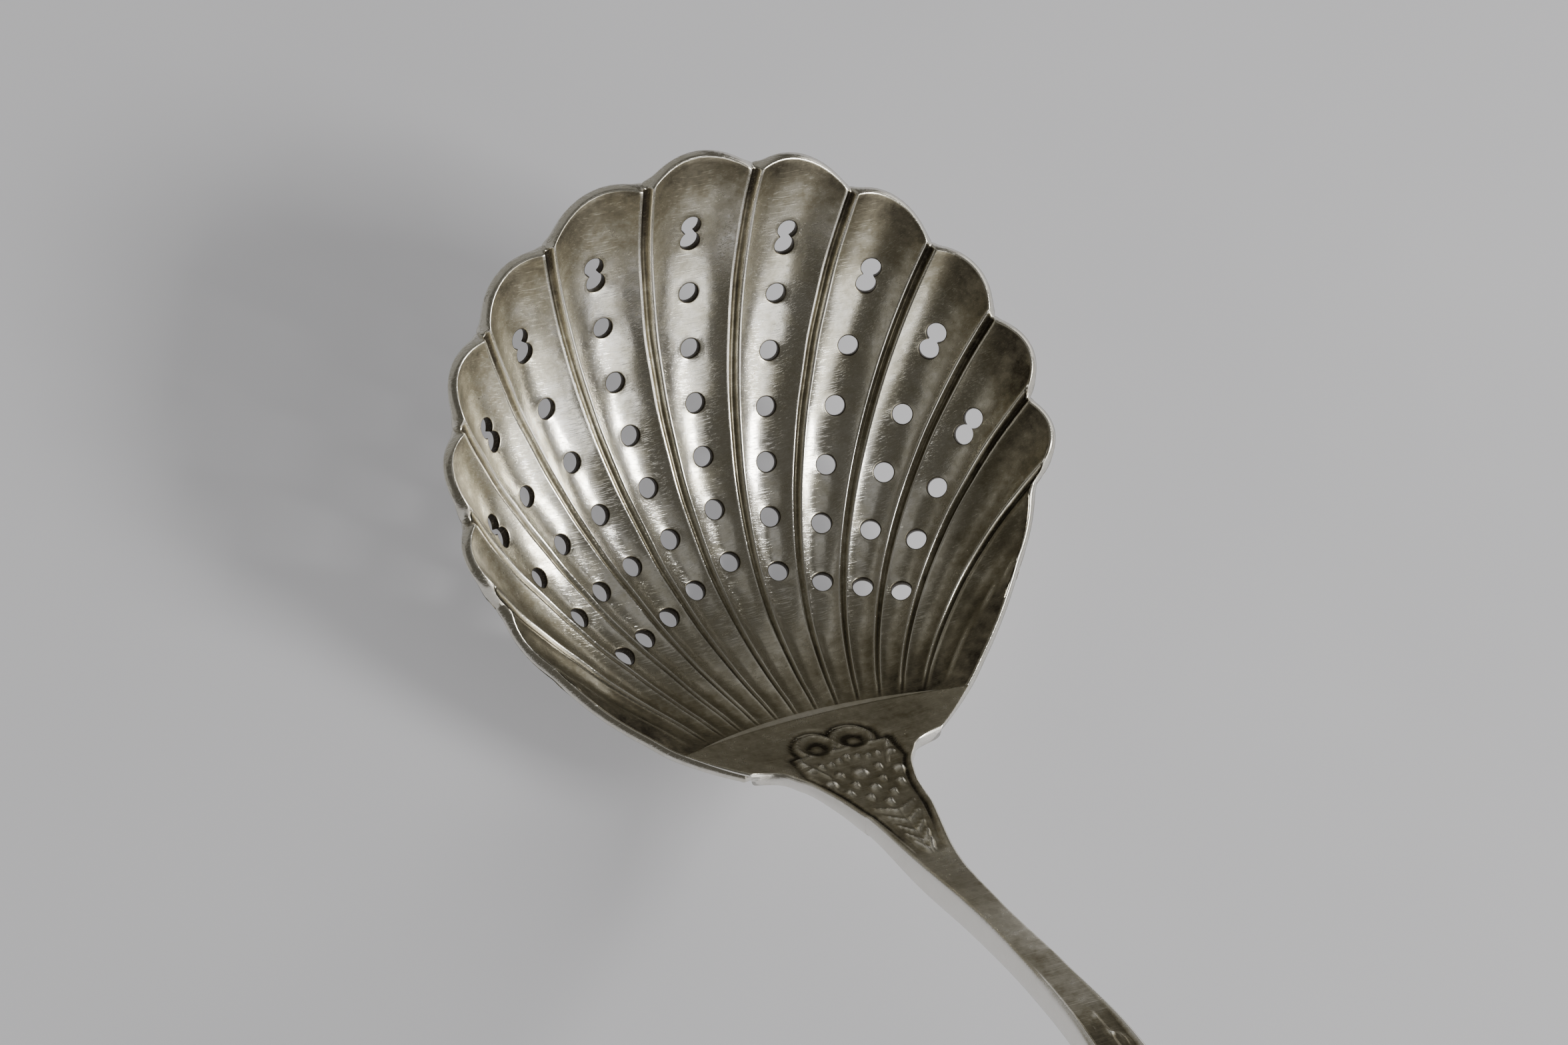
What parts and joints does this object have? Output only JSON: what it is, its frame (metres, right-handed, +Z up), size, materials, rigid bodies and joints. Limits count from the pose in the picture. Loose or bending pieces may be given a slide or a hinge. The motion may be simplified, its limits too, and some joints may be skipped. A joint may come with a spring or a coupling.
{
  "type": "pierced sifter spoon",
  "caption": "Silver sifter spoon with a fluted, pierced scallop-shell bowl and an arched handle that ends in a flat rest.",
  "frame": {"origin": "on the table, under the middle of the spoon's length and width", "axes": "+Z up from the table, +Y from the handle's end to the bowl's tip, X across; YZ is the plane of symmetry"},
  "size_m": [0.0602, 0.1898, 0.0444],
  "materials": {
    "bowl_silver": "tarnished silver, worn bright on the high parts",
    "handle_silver": "tarnished silver, dark in the struck ornament",
    "silver_solder": "dull silver solder"
  },
  "bodies": {
    "root": {"bowl": "bowl_silver", "handle": "handle_silver", "solder_seam": "silver_solder"}
  },
  "joints": []
}
